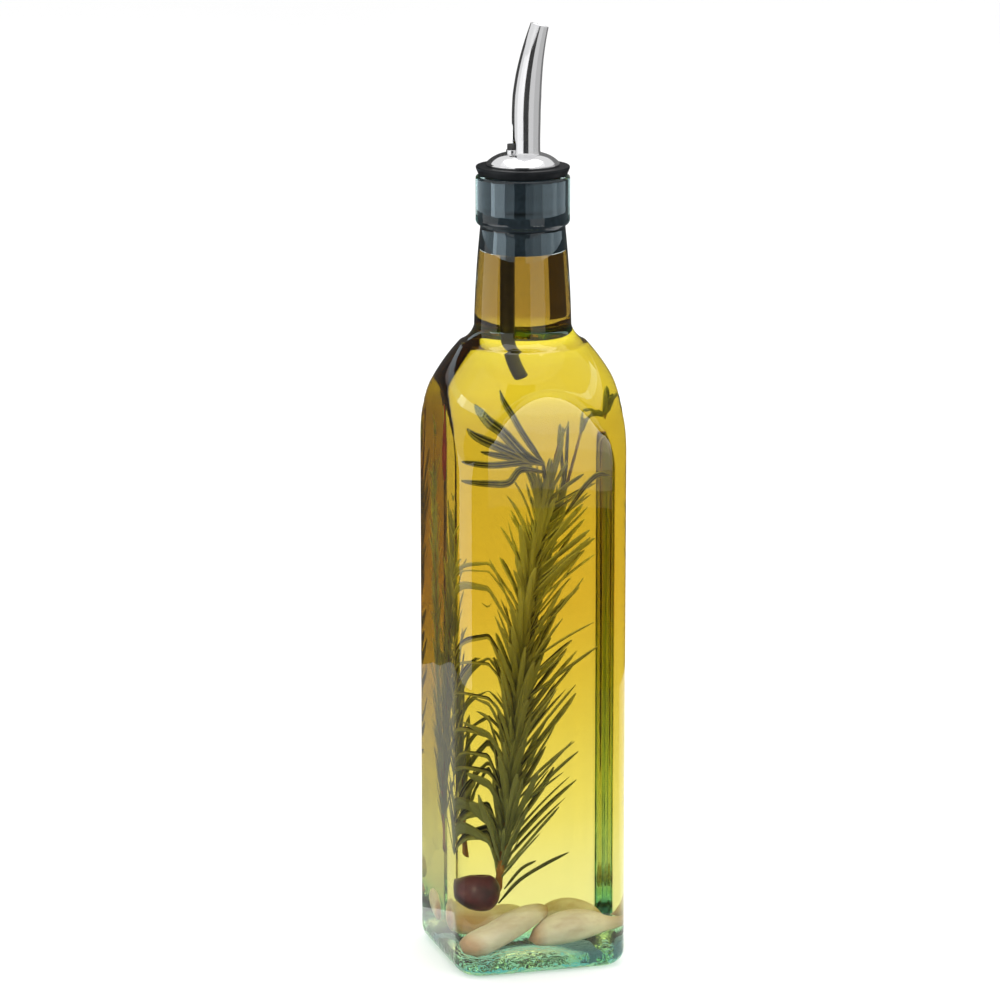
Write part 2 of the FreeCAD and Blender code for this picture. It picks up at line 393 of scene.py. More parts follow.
def absorb(tree, colour, density):
    volume = add_node(tree, "ShaderNodeVolumeAbsorption", {"Color": (*colour, 1), "Density": density})
    tree.links.new(volume.outputs["Volume"], tree.nodes["Material Output"].inputs["Volume"])


def height_of(tree, top):
    """Height in the object, from 0 at its base to 1 at top."""
    place = add_node(tree, "ShaderNodeTexCoord")
    split = add_node(tree, "ShaderNodeSeparateXYZ")
    tree.links.new(place.outputs["Object"], split.inputs["Vector"])
    height = add_node(tree, "ShaderNodeMapRange", {"From Max": top})
    tree.links.new(split.outputs["Z"], height.inputs["Value"])
    return height.outputs["Result"]


def ramp_by_height(tree, top, stops):
    return colour_ramp(tree, height_of(tree, top), stops)


def multiplied(tree, first, second):
    mix = add_node(tree, "ShaderNodeMix", data_type="RGBA", blend_type="MULTIPLY")
    mix.inputs[0].default_value = 1.0
    tree.links.new(first, mix.inputs[6])
    tree.links.new(second, mix.inputs[7])
    return mix.outputs[2]


def varied_roughness(tree, shader, source, low, high, source_low=0.0, source_high=1.0):
    inputs = {"From Min": source_low, "From Max": source_high, "To Min": low, "To Max": high}
    spread = add_node(tree, "ShaderNodeMapRange", inputs)
    tree.links.new(source, spread.inputs["Value"])
    tree.links.new(spread.outputs["Result"], shader.inputs["Roughness"])


def glass_material():
    """Clear glass, tinted at its thick foot, with a finely stippled heel; alpha 0 where the oil wets it."""
    material, tree, shader = new_material("bottle_glass")
    tints = [(0.0, (0.24, 0.72, 0.60)), (0.018, (0.24, 0.72, 0.60)), (0.04, (0.985, 1.0, 0.992))]
    tree.links.new(ramp_by_height(tree, GLASS_H, tints), shader.inputs["Base Color"])
    set_inputs(shader, {"Transmission Weight": 1.0, "IOR": 1.52})
    varied_roughness(tree, shader, object_noise(tree, 180, 3), 0.0, 0.02)
    place = add_node(tree, "ShaderNodeTexCoord")
    cells = add_node(tree, "ShaderNodeTexVoronoi", {"Scale": 520.0})
    tree.links.new(place.outputs["Object"], cells.inputs["Vector"])
    low = grey_ramp(tree, height_of(tree, GLASS_H), [(0.0, 1), (0.009, 1), (0.028, 0)])
    stipple = add_node(tree, "ShaderNodeMath", operation="MULTIPLY")
    tree.links.new(cells.outputs["Distance"], stipple.inputs[0])
    tree.links.new(low, stipple.inputs[1])
    relief = add_node(tree, "ShaderNodeMath", operation="MULTIPLY_ADD", inputs={1: 12.0})
    tree.links.new(stipple.outputs["Value"], relief.inputs[0])
    tree.links.new(object_noise(tree, 55, 2), relief.inputs[2])
    add_bump(tree, shader, relief.outputs["Value"], 0.06 * MM, 0.5)
    dry = add_node(tree, "ShaderNodeAttribute", attribute_name="dry")
    tree.links.new(dry.outputs["Fac"], shader.inputs["Alpha"])
    absorb(tree, (0.0, 0.58, 0.56), 21.0)
    return material


def oil_material():
    """The glass round it bends the light, so the oil only colours it; its colour by height is painted light
    and shade.
    """
    material, tree, shader = new_material("olive_oil")
    set_inputs(shader, {"Transmission Weight": 1.0, "IOR": 1.0, "Roughness": 0.0})
    # Painted light and shade by height: pale at the foot for the floor light coming through, amber in the
    # body, bright yellow at the shoulder, dark brown in the neck for the shade there.
    stops = [
        (0.0, (1.0, 0.92, 0.90)), (0.11, (0.94, 0.84, 0.67)), (0.20, (0.89, 0.72, 0.31)),
        (0.32, (0.80, 0.57, 0.13)), (0.46, (0.72, 0.43, 0.06)), (0.60, (0.67, 0.41, 0.05)),
        (0.70, (0.63, 0.42, 0.06)), (0.74, (0.98, 0.76, 0.08)), (0.80, (1.0, 0.79, 0.08)),
        (0.82, (0.38, 0.20, 0.035)), (0.9, (0.34, 0.175, 0.03)),
    ]
    tree.links.new(ramp_by_height(tree, GLASS_H, stops), shader.inputs["Base Color"])
    absorb(tree, (0.94, 0.92, 0.46), 40.0)
    return material


def chrome_material():
    material, tree, shader = new_material("polished_steel")
    set_inputs(shader, {"Base Color": (0.86, 0.86, 0.87, 1), "Metallic": 1.0})
    varied_roughness(tree, shader, object_noise(tree, 260, 4, (1, 1, 0.25)), 0.05, 0.13, 0.3, 0.7)
    add_bump(tree, shader, object_noise(tree, 900, 2), 0.01 * MM, 0.4)
    return material


def rubber_material():
    """Slate-black rubber with painted shade in its grooves; duller inside the glass than on the flange."""
    material, tree, shader = new_material("stopper_rubber")
    grain = object_noise(tree, 700, 5)
    skin = colour_ramp(tree, grain, [(0.3, (0.011, 0.016, 0.021)), (0.7, (0.020, 0.028, 0.036))])
    # Painted shade: dark lines in the colour at the heights of the grooves.
    lines = [(0.0, (1, 1, 1))]
    for z in sorted(GROOVES):
        share = (z * MM) / GLASS_H
        lines += [(share - 0.0025, (1, 1, 1)), (share, (0.04, 0.04, 0.04)), (share + 0.0025, (1, 1, 1))]
    lines += [(0.998, (1, 1, 1)), (1.0, (0.5, 0.4, 0.35))]
    skin_with_groove_shade = multiplied(tree, skin, ramp_by_height(tree, GLASS_H, lines))
    tree.links.new(skin_with_groove_shade, shader.inputs["Base Color"])
    varied_roughness(tree, shader, grain, 0.25, 0.45)
    gloss = grey_ramp(tree, height_of(tree, GLASS_H), [(0.0, 0.03), (0.999, 0.03), (1.0, 0.1)])
    tree.links.new(gloss, shader.inputs["Specular IOR Level"])
    add_bump(tree, shader, object_noise(tree, 2600, 3), 0.02 * MM, 0.5)
    return material


def tube_material():
    material, tree, shader = new_material("tube_plastic")
    stops = [(0.3, (0.008, 0.008, 0.008)), (0.7, (0.020, 0.019, 0.018))]
    tree.links.new(colour_ramp(tree, object_noise(tree, 500, 3), stops), shader.inputs["Base Color"])
    set_inputs(shader, {"Roughness": 0.35})
    add_bump(tree, shader, object_noise(tree, 1500, 2), 0.01 * MM, 0.4)
    return material


# ---------------------------------------------------------------- bottle and oil

def mark_dry(obj, first_wet):
    """Writes which faces of the glass meet air: oil against glass hardly bends or reflects light."""
    dry = obj.data.attributes.new("dry", "FLOAT", "FACE")
    faces = len(obj.data.polygons)
    dry.data.foreach_set("value", [1.0 if i < first_wet else 0.0 for i in range(faces)])


def filled_bottle():
    """The glass and the oil. Neither casts a shadow, so the light reaches what is inside and below."""
    verts, faces, first_wet = glass_mesh()
    glass = make_object("bottle", verts, faces, glass_material(), "bottle", ["glass_bottle"], "bottle_glass")
    mark_dry(glass, first_wet)
    glass.visible_shadow = False
    oil = make_object("oil", *oil_mesh(), oil_material(), "bottle", ["oil_fill"], "olive_oil")
    oil.visible_shadow = False


filled_bottle()


# ---------------------------------------------------------------- stopper and pourer

def stopper_profile():
    """Closed loop: flange, ribbed plug pressed against the glass, and the hole for the shank."""
    wet = 9.53
    loop = [(6.1, 260.9), (6.3, 261.0), (14.7, 261.0)]
    loop += arc_points((14.7, 261.0), (14.95, 260.9), (15.04, 260.6), 4)
    loop += [(15.02, 260.3), (14.8, 259.7), (14.3, 258.5), (14.1, 258.15), (13.85, 258.06), (9.8, 258.06)]
    loop += [(wet, 257.6)]
    for z in GROOVES:
        loop += [(wet, z + 0.4), (wet - 0.02, z), (wet, z - 0.4)]
    loop += [(wet, 233.3), (9.45, 233.2), (6.1, 233.2)]
    return scaled(loop)



def dome_profile():
    low = 261.05
    loop = [(4.6, low + 3.3), (9.6 - 0.5, 263.1), (11.2, low + 0.75), (11.2, low)]
    loop += [(11.75, low), (11.8, low + 0.1), (11.8, low + 0.7)]
    loop += arc_points((11.78, low + 0.85), (9.6, 263.65), (6.2, 264.95), 14)
    loop += [(5.6, 265.0), (4.6, 265.0)]
    return scaled(loop)


def spout_line(share):
    """Centre, direction and outer radius along the spout, share 0 at its foot to 1 at its tip."""
    straight = SPOUT_ARC_Z - SPOUT_FOOT_Z
    s = share * (straight + SPOUT_ARC_R * math.radians(17.0))
    radius = float(np.interp(share, [0, 0.03, 0.12, 0.28, 0.45, 0.6, 0.8, 1.0],
                             [5.0, 4.5, 4.48, 4.62, 4.6, 4.25, 3.6, 2.93])) * MM
    if s <= straight:
        return Vector((SPOUT_X, 0, SPOUT_FOOT_Z + s)), 0.0, radius
    turn = (s - straight) / SPOUT_ARC_R
    x = SPOUT_X + SPOUT_ARC_R * (1 - math.cos(turn))
    z = SPOUT_ARC_Z + SPOUT_ARC_R * math.sin(turn)
    return Vector((x, 0, z)), turn, radius


def slot_half_angle(z, radius):
    """Half of the opening, as an angle round the spout, that the breather's slot takes."""
    reach = float(np.interp(z / MM, [264, 268, SLOT_TOP_Z / MM], [2.05, 2.05, 0.0])) * MM
    gap = SPOUT_X - VENT_X
    cosine = (radius ** 2 + gap ** 2 - reach ** 2) / (2 * radius * gap)
    return math.acos(min(1.0, max(-1.0, cosine)))


def spout_mesh(rows=150, count=96):
    """Open tube with a pointed slot at its foot; the sheet is thickened afterwards."""
    across = Vector((0, 1, 0))
    verts = []
    for r in range(rows):
        centre, turn, radius = spout_line(r / (rows - 1))
        side = Vector((math.cos(turn), 0, -math.sin(turn)))
        half = slot_half_angle(centre.z, radius) if centre.z < SLOT_TOP_Z else 0.0
        for i in range(count + 1):
            angle = math.pi + half + (2 * math.pi - 2 * half) * i / count
            verts.append(centre + side * (radius * math.cos(angle)) + across * (radius * math.sin(angle)))
    return verts, ring_faces(rows, count + 1, closed=False)


def breather_points():
    """Centre line of the breather tube, from its stub to its bent end."""
    bend_z, bend_r, turn = 203.0 * MM, 36.0 * MM, math.radians(24.0)
    points = [Vector((VENT_X, 0, z * MM)) for z in np.linspace(268, 203.5, 30)]
    for t in np.linspace(0, turn, 14):
        points.append(Vector((VENT_X + bend_r * (1 - math.cos(t)), 0, bend_z - bend_r * math.sin(t))))
    return points


def stopper_and_pourer():
    chrome, rubber = chrome_material(), rubber_material()
    stopper = make_object("rubber_stopper", *turned_ring(stopper_profile()), rubber,
                          "stopper_body", ["stopper"], "stopper_rubber")
    dome = make_object("dome", *turned_ring(dome_profile()), chrome, "pourer_head", ["dome_cap"], "stainless")
    spout = make_object("spout", *spout_mesh(), chrome, "pourer_head", ["pour_spout"], "stainless")
    weld(spout)
    thick = spout.modifiers.new("sheet", "SOLIDIFY")
    thick.thickness = SHEET
    thick.offset = -1.0
    thick.use_rim = True
    tube = make_object("breather", *pipe_mesh(breather_points(), VENT_R, VENT_BORE_R), tube_material(),
                       "pourer_head", ["breather_tube"], "tube_plastic")
    lip_line = [Vector((VENT_X, 0, z * MM)) for z in (264.2, 264.8, 265.4, 266.0, 266.2)]
    lip = make_object("breather_lip", *pipe_mesh(lip_line, VENT_R + 0.35 * MM, VENT_R + 0.02 * MM), chrome,
                      "pourer_head", [], "stainless")
    for piece in (stopper, dome, tube, lip):
        weld(piece)
    shank = frame["nodes"]["spout_shank"]
    shank.data.materials.clear()
    shank.data.materials.append(chrome)


stopper_and_pourer()


# ---------------------------------------------------------------- what is steeped in the oil

def clear_of_glass(point, gap=STEEPED_GAP):
    """Moves a point that is too near the glass back to where it just clears it."""
    x, y, z = point
    corner = CORNER_R - WALL - gap
    straight = SIDE / 2 - CORNER_R
    past_x, past_y = max(abs(x) - straight, 0), max(abs(y) - straight, 0)
    past = math.hypot(past_x, past_y)
    if past > corner:
        x = math.copysign(min(abs(x), straight) + past_x * corner / past, x)
        y = math.copysign(min(abs(y), straight) + past_y * corner / past, y)
    if z > 165 * MM:
        limit, off = shoulder_radius(WALL + gap, z), math.hypot(x, y)
        if off > limit:
            x, y = x * limit / off, y * limit / off
    mound = max(0.0, PUSH_UP - (x * x + y * y) / (2 * PUSH_UP_R))
    return Vector((x, y, max(z, FLOOR + mound + gap)))


def smooth_line(points, steps):
    """A Catmull-Rom curve through points given in millimetres."""
    points = [Vector(p) * MM for p in points]
    points = [2 * points[0] - points[1]] + points + [2 * points[-1] - points[-2]]
    line = []
    for i in range(1, len(points) - 2):
        a, b, c, d = points[i - 1:i + 3]
        for k in range(steps):
            t = k / steps
            line.append(0.5 * (2 * b + (c - a) * t + (2 * a - 5 * b + 4 * c - d) * t ** 2
                               + (3 * b - a - 3 * c + d) * t ** 3))
    return line + [points[-2]]


def at_length(line, distance):
    """Point and direction at a distance along a line."""
    for a, b in zip(line, line[1:]):
        step = (b - a).length
        if distance <= step:
            return a.lerp(b, distance / step), (b - a).normalized()
        distance -= step
    return line[-1].copy(), (line[-1] - line[-2]).normalized()


def line_length(line):
    return sum((b - a).length for a, b in zip(line, line[1:]))


def rolled(side, over, turn):
    """Two directions square to a line, turned about it."""
    cosine, sine = math.cos(turn), math.sin(turn)
    return side * cosine + over * sine, over * cosine - side * sine


class Foliage:
    """Gathers needles into one mesh, with a colour for each point: along, across and tone."""

    SECTION = [(0.62, -0.3), (0.2, -0.22), (0.0, -0.5), (-0.2, -0.22), (-0.62, -0.3), (-1.0, -0.25),
               (-0.78, 0.42), (-0.3, 0.5), (0.0, 0.22), (0.3, 0.5), (0.78, 0.42), (1.0, -0.25)]

    def __init__(self):
        self.verts, self.faces, self.marks = [], [], []

    def needle(self, line, width, upper, tone, twist=0.0):
        """A narrow leaf with rolled edges along a line of centres; upper is where its face looks."""
        count, first = len(self.SECTION), len(self.verts)
        last = len(line) - 1
        for i, point in enumerate(line):
            t = i / last
            along = (line[min(i + 1, last)] - line[max(i - 1, 0)]).normalized()
            side = along.cross(upper).normalized()
            side, over = rolled(side, side.cross(along), twist * t)
            taper = math.sqrt(max(0.06, 1 - max(0.0, (t - 0.62) / 0.38) ** 2.2))
            half = width / 2 * (min(1.0, 0.42 + 2.6 * t) * taper)
            for across, rise in self.SECTION:
                place = point + side * (across * half) + over * (rise * half * 0.8)
                self.verts.append(clear_of_glass(place))
                self.marks.append((t, (across + 1) / 2, tone, 0.0 if rise < 0 else 1.0))
        self.faces += ring_faces(len(line), count, first=first)
        self.faces.append(tuple(first + i for i in reversed(range(count))))
        self.faces.append(tuple(first + last * count + i for i in range(count)))

    def build(self, name, material, nodes):
        obj = make_object(name, self.verts, self.faces, material, "bottle", nodes, "rosemary_needle")
        leaf = obj.data.color_attributes.new("leaf", "FLOAT_COLOR", "POINT")
        leaf.data.foreach_set("color", [value for mark in self.marks for value in mark])
        return obj


def bent_line(start, stem, outward, length, lean, curl, sway, steps=9):
    """A needle's centre line: it leaves the stem at an angle of lean and turns by curl on its way."""
    lateral = stem.cross(outward)
    line, point = [start.copy()], start.copy()
    for i in range(steps):
        t = (i + 0.5) / steps
        angle = lean + curl * t ** 1.4
        step = stem * math.cos(angle) + outward * math.sin(angle) + lateral * (sway * t)
        point = clear_of_glass(point + step * (length / steps), 0.9 * MM)
        line.append(point.copy())
    return line


def grow_sprig(name, points, thick, first, last, spacing, seed, reach, spread, extra=()):
    """One sprig: its stem, and pairs of needles with tufts of young ones in their axils.

    Needles grow from first to last along the stem, about spacing apart, with lengths in reach; all
    in millimetres. Those on the +X side lean out by spread degrees more. Extra ones are drawn as
    lines of centres with a width.
    """
    chance = random.Random(seed)
    line = smooth_line(points, 12)
    total = line_length(line)
    foliage = Foliage()
    place, turn = first * MM, chance.random() * 3
    while place < total - last * MM:
        share = place / total
        point, stem = at_length(line, place)
        turn += math.radians(88 + chance.uniform(-16, 16))
        for half_turn in (0, math.pi):
            side = Vector((0, 1, 0)).cross(stem).normalized()
            other = stem.cross(side)
            a = turn + half_turn + chance.uniform(-0.25, 0.25)
            outward = side * math.cos(a) + other * math.sin(a)
            length = chance.uniform(*reach) * (1 - 0.35 * max(0, share - 0.6) / 0.4) * MM
            length *= min(1.0, 1.0 + 0.02 * spread) + 0.32 * max(0, outward.x) * (1 - share)
            lean = math.radians(chance.uniform(16, 36) + spread * max(0, outward.x))
            curl = math.radians(chance.uniform(-14, 14) - 14 * min(0, outward.x))
            start = point + outward * 0.5 * MM
            centre = bent_line(start, stem, outward, length, lean, curl, chance.uniform(-0.15, 0.15))
            foliage.needle(centre, chance.uniform(1.5, 2.6) * MM, (stem - outward * 0.4).normalized(),
                           chance.random(), chance.uniform(-0.7, 0.7))
            for _ in range(2):
                b = a + chance.uniform(-0.8, 0.8)
                outward = side * math.cos(b) + other * math.sin(b)
                small = bent_line(point, stem, outward, chance.uniform(7, 16) * MM,
                                  math.radians(chance.uniform(8, 28)), math.radians(chance.uniform(-5, 12)),
                                  chance.uniform(-0.1, 0.1), 6)
                foliage.needle(small, chance.uniform(0.9, 1.5) * MM, (stem - outward * 0.4).normalized(),
                               0.75 * chance.random())
        place += spacing * MM * chance.uniform(0.75, 1.25)
    for turn_out in range(5):
        point, stem = at_length(line, total)
        side = Vector((0, 1, 0)).cross(stem).normalized()
        a = turn_out * 1.26
        outward = side * math.cos(a) + stem.cross(side) * math.sin(a)
        tip = bent_line(point, stem, outward, chance.uniform(0.25, 0.5) * reach[0] * MM, 0.15, 0.2, 0.0)
        foliage.needle(tip, 1.6 * MM, stem, 0.7)
    facing = Vector((0.15, -1, 0.2)).normalized()
    for centre, width in extra:
        foliage.needle(smooth_line(centre, 5), width * MM, facing, chance.uniform(0.2, 0.5))
    foliage.build("needles_" + name, NEEDLE, ["rosemary_leaves_" + name])
    woody_stem(line, thick, name, seed)


def woody_stem(line, thick, name, seed):
    """A woody stem with knots where the needles sit and a slanted cut at its foot."""
    rows = sweep(line, 1.0, 14)
    chance = random.Random(seed + 50)
    ripple_phase = chance.random() * 6
    rings = []
    for i, ring in enumerate(rows):
        t = i / (len(rows) - 1)
        radius = thick * MM * (1 - 0.62 * t) * (1 + 0.12 * math.sin(i * 2.1 + ripple_phase))
        centre = line[i]
        slant = 0.8 * MM if i == 0 else 0.0
        rings.append([centre + (p - centre).normalized() * radius + Vector((0, 0, slant * math.cos(k * 0.45)))
                      for k, p in enumerate(ring)])
    verts, faces = capped_rings(rings, line[0], line[-1])
    stem = make_object("stem_" + name, verts, faces, STEM, "bottle", ["rosemary_stem_" + name],
                       "rosemary_wood")
    weld(stem, 0.0001 * MM)


def needle_material():
    """Leathery green, a paler midrib, pale edges that are partly their own colour and partly painted rim
    highlight, a felted underside; darker towards the foot and the top.
    """
    material, tree, shader = new_material("rosemary_needle")
    leaf = add_node(tree, "ShaderNodeAttribute", attribute_name="leaf")
    split = add_node(tree, "ShaderNodeSeparateColor")
    tree.links.new(leaf.outputs["Color"], split.inputs["Color"])
    tone, across = split.outputs["Blue"], split.outputs["Green"]
    base = colour_ramp(tree, tone, [
        (0.0, (0.025, 0.035, 0.020)), (0.42, (0.060, 0.080, 0.040)), (0.52, (0.21, 0.27, 0.12)),
        (0.8, (0.48, 0.60, 0.26)), (1.0, (0.90, 1.0, 0.50))])
    # Pale midrib and edges: partly the leaf's own colour, partly a painted rim highlight.
    rib_and_rim_highlight = grey_ramp(tree, across, [
        (0.0, 1), (0.14, 0.55), (0.3, 0), (0.42, 0), (0.5, 0.9), (0.58, 0), (0.7, 0), (0.86, 0.55), (1.0, 1)])
    pale = add_node(tree, "ShaderNodeMix", data_type="RGBA")
    pale.inputs[7].default_value = (0.95, 1.0, 0.52, 1)
    tree.links.new(rib_and_rim_highlight, pale.inputs[0])
    tree.links.new(base, pale.inputs[6])
    mottle = colour_ramp(tree, object_noise(tree, 650, 5),
                         [(0.32, (0.62, 0.58, 0.45)), (0.68, (1.15, 1.12, 1.0))])
    under = add_node(tree, "ShaderNodeMix", data_type="RGBA")
    under.inputs[6].default_value = (0.48, 0.55, 0.36, 1)
    tree.links.new(leaf.outputs["Alpha"], under.inputs[0])
    tree.links.new(multiplied(tree, pale.outputs[2], mottle), under.inputs[7])
    # Darker towards the foot and the top of the herbs, lightest a little above their middle.
    height_tone = ramp_by_height(tree, HERBS_H, [
        (0.30, (0.36, 0.36, 0.36)), (0.52, (0.58, 0.58, 0.56)), (0.67, (0.92, 0.92, 0.84)),
        (0.78, (1, 1, 0.90)), (0.86, (0.55, 0.55, 0.52)), (1.0, (0.50, 0.50, 0.48))])
    tree.links.new(multiplied(tree, under.outputs[2], height_tone), shader.inputs["Base Color"])
    set_inputs(shader, {"Roughness": 0.55, "Specular IOR Level": 0.08})
    add_bump(tree, shader, object_noise(tree, 2200, 3), 0.05 * MM, 0.6)
    return material


def stem_material():
    """Reddish bark at the foot, greener towards the tip."""
    material, tree, shader = new_material("rosemary_wood")
    bark = object_noise(tree, 420, 5, (1, 1, 0.3))
    low = colour_ramp(tree, bark, [
        (0.3, (0.12, 0.05, 0.025)), (0.55, (0.30, 0.12, 0.05)), (0.75, (0.46, 0.25, 0.11))])
    high = colour_ramp(tree, bark, [(0.3, (0.16, 0.12, 0.04)), (0.7, (0.36, 0.30, 0.11))])
    blend = add_node(tree, "ShaderNodeMix", data_type="RGBA")
    tree.links.new(height_of(tree, HERBS_H), blend.inputs[0])
    tree.links.new(low, blend.inputs[6])
    tree.links.new(high, blend.inputs[7])
    tree.links.new(blend.outputs[2], shader.inputs["Base Color"])
    set_inputs(shader, {"Roughness": 0.7, "Specular IOR Level": 0.08})
    add_bump(tree, shader, bark, 0.15 * MM, 0.8)
    return material


NEEDLE = needle_material()
STEM = stem_material()

# Needles that lie flat against the front of the bottle, near its top left
FAN = [
    (((0.0, -20.5, 168.4), (-6.3, -22.5, 171.7), (-14.0, -24.0, 180.0), (-19.5, -24.0, 184.0),
      (-25.2, -22.5, 187.5)), 3.7),
    (((0.2, -19.5, 168.6), (-7.4, -21.0, 179.7), (-14.2, -22.5, 192.3)), 2.2),
    (((-1.0, -20.5, 169.1), (-6.3, -22.5, 171.0), (-16.5, -24.0, 176.0), (-25.6, -21.5, 180.2)), 3.3),
    (((-1.0, -20.5, 169.0), (-6.0, -22.0, 170.4), (-14.2, -23.5, 172.2), (-20.5, -24.0, 173.8)), 2.1),
    (((-1.0, -20.5, 168.8), (-6.0, -22.5, 169.7), (-16.5, -24.0, 169.5), (-25.8, -21.0, 170.2)), 2.3),
    (((0.2, -19.0, 165.6), (-7.5, -21.5, 167.2), (-12.0, -23.5, 163.4), (-18.5, -24.0, 163.6),
      (-25.8, -21.0, 164.2)), 2.4),
    (((3.0, -10.0, 160.0), (1.2, -16.0, 164.5), (0.0, -20.5, 168.4)), 1.6),
]
# One that leans out to the right, and two young ones at the tip of the second sprig
RIGHT_NEEDLE = [
    (((9.4, -10.0, 150.1), (15.1, -15.0, 159.6), (19.0, -17.0, 163.3), (22.5, -17.5, 163.0)), 1.9),
]
TIP_NEEDLES = [
    (((12.5, 6.0, 158.5), (12.8, 5.5, 168.0), (13.2, 5.0, 178.5)), 1.3),
    (((11.8, 6.0, 158.2), (11.0, 5.5, 168.0), (10.1, 5.0, 177.4)), 1.3),
]
# Two that hang over the garlic
LOW_NEEDLES = [
    (((-13.7, -14.0, 22.5), (-6.9, -15.0, 29.8), (1.5, -15.5, 34.6), (9.7, -16.0, 38.2)), 1.3),
    (((-11.5, -13.0, 27.0), (-6.0, -14.0, 33.5), (-1.0, -14.5, 36.0)), 1.1),
]
SPRIG_1 = [(-13.2, -9, 25), (-10, -9.5, 50), (-6.5, -9, 88), (-2.5, -8.5, 125), (3, -7, 153), (8, -5, 172)]
SPRIG_2 = [(-7, 10, 34), (-4.5, 10.5, 62), (-0.5, 9.5, 98), (5.5, 8, 132), (13, 7, 157), (17.5, 6, 174)]
SPRIG_3 = [(-16, 2, 36), (-18.5, 3, 55), (-19.5, 6.5, 84), (-19.5, 8.5, 117), (-19, 11, 148), (-17, 12, 172)]
grow_sprig("1", SPRIG_1, 1.35, 5, 16, 1.55, 4, (19, 28), 15, FAN + LOW_NEEDLES + RIGHT_NEEDLE)
grow_sprig("2", SPRIG_2, 1.15, 10, 30, 3.2, 9, (16, 24), 0, TIP_NEEDLES)
grow_sprig("3", SPRIG_3, 1.15, 8, 14, 3.4, 21, (15, 22), -22)


def garlic_material():
    """Peeled clove: cream, faintly ribbed, browner at the root end, a little light under the skin."""
    material, tree, shader = new_material("garlic_flesh")
    along = add_node(tree, "ShaderNodeAttribute", attribute_name="along")
    patch = object_noise(tree, 260, 6, (0.4, 1, 1), 0.65)
    flesh = colour_ramp(tree, patch, [
        (0.3, (0.56, 0.45, 0.31)), (0.5, (0.66, 0.59, 0.44)), (0.7, (0.73, 0.67, 0.52))])
    ends = colour_ramp(tree, along.outputs["Fac"], [
        (0.0, (0.42, 0.25, 0.13)), (0.07, (0.72, 0.50, 0.36)), (0.2, (1, 1, 1)), (0.86, (1, 0.99, 0.95)),
        (0.95, (0.72, 0.62, 0.42)), (1.0, (0.5, 0.36, 0.2))])
    tree.links.new(multiplied(tree, flesh, ends), shader.inputs["Base Color"])
    set_inputs(shader, {"Roughness": 0.5, "Specular IOR Level": 0.12, "Subsurface Weight": 0.25,
                        "Subsurface Radius": (1.0, 0.7, 0.35), "Subsurface Scale": 2.0 * MM})
    add_bump(tree, shader, object_noise(tree, 900, 4), 0.12 * MM, 0.5)
    return material


GARLIC = garlic_material()


def clove(number, centre, length, width, heading, pitch, bow, roll, point, full):
    """A garlic clove: a plump crescent with one flat side, a blunt root end and a drawn-out tip.

    A smaller point moves the widest part towards the root, and a smaller full makes it plumper.
    """
    chance = random.Random(number)
    heading, pitch = math.radians(heading), math.radians(pitch)
    level = math.cos(pitch)
    along = Vector((math.cos(heading) * level, math.sin(heading) * level, math.sin(pitch)))
    side = Vector((0, 0, 1)).cross(along).normalized()
    upper = along.cross(side)
    side, upper = rolled(side, upper, roll)
    middle = Vector(centre) * MM
    rows, count = 44, 40
    phase = chance.random() * 6
    rings, marks = [], []
    for r in range(rows):
        t = (r + 0.5) / rows
        blunt = min(1.0, (t / 0.10 + 0.25)) if t < 0.075 else 1.0
        form = math.sin(math.pi * t ** point) ** full
        fill = form * blunt * (1 - 0.12 * t)
        bend = bow * (1 - (2 * t - 1) ** 2) * MM
        place = middle + along * ((t - 0.5) * length * MM) + upper * (bend - bow * 0.5 * MM)
        ring = []
        for k in range(count):
            a = 2 * math.pi * k / count
            x, y = math.cos(a), math.sin(a)
            reach = width / 2 * MM * fill
            flat = 1 - 0.16 * max(0.0, -y) ** 2
            ribs = 1 + 0.018 * math.sin(5 * a + phase + 2 * t) + 0.012 * math.sin(9 * a + phase)
            ring.append(clear_of_glass(place + (side * x + upper * (y * flat)) * (reach * ribs), 0.15 * MM))
        rings.append(ring)
        marks += [t] * count
    first, last = rings[0], rings[-1]
    start = sum(first, Vector()) / count - along * 0.25 * MM
    end = sum(last, Vector()) / count + along * 0.9 * MM
    verts, faces = capped_rings(rings, start, clear_of_glass(end, 0.15 * MM))
    name = "garlic_clove_%d" % number
    obj = make_object("clove_%d" % number, verts, faces, GARLIC, "bottle", [name], "garlic_flesh")
    share = obj.data.attributes.new("along", "FLOAT", "POINT")
    share.data.foreach_set("value", [0.0] + marks + [1.0])


# Each clove: centre, length, width, heading, pitch, bow, roll, point and full
CLOVES = [
    ((-11, -17.4, 14.0), 30, 10.5, 12, 24, 1.2, 0.2, 1.0, 0.34),
    ((10.5, -16, 12.0), 30, 12.6, 6, 5, 1.6, 0.0, 0.95, 0.55),
    ((-9.5, -1, 13.9), 22, 11, 28, 0, 1.0, 0.4, 0.9, 0.5),
    ((13, 1.5, 13.5), 22, 11, -10, 0, 1.2, 0.1, 0.9, 0.5),
    ((-13.8, 16.2, 12.7), 20, 10, 64, 4, 1.0, 0.3, 0.9, 0.5),
]
for clove_number, clove_form in enumerate(CLOVES, 1):
    clove(clove_number, *clove_form)


def olive_material():
    material, tree, shader = new_material("olive_skin")
    patch = object_noise(tree, 230, 4)
    skin = colour_ramp(tree, patch, [
        (0.3, (0.035, 0.012, 0.018)), (0.6, (0.085, 0.022, 0.030)), (0.8, (0.13, 0.05, 0.04))])
    tree.links.new(skin, shader.inputs["Base Color"])
    set_inputs(shader, {"Roughness": 0.3, "Specular IOR Level": 0.3})
    add_bump(tree, shader, object_noise(tree, 1400, 3), 0.05 * MM, 0.4)
    return material


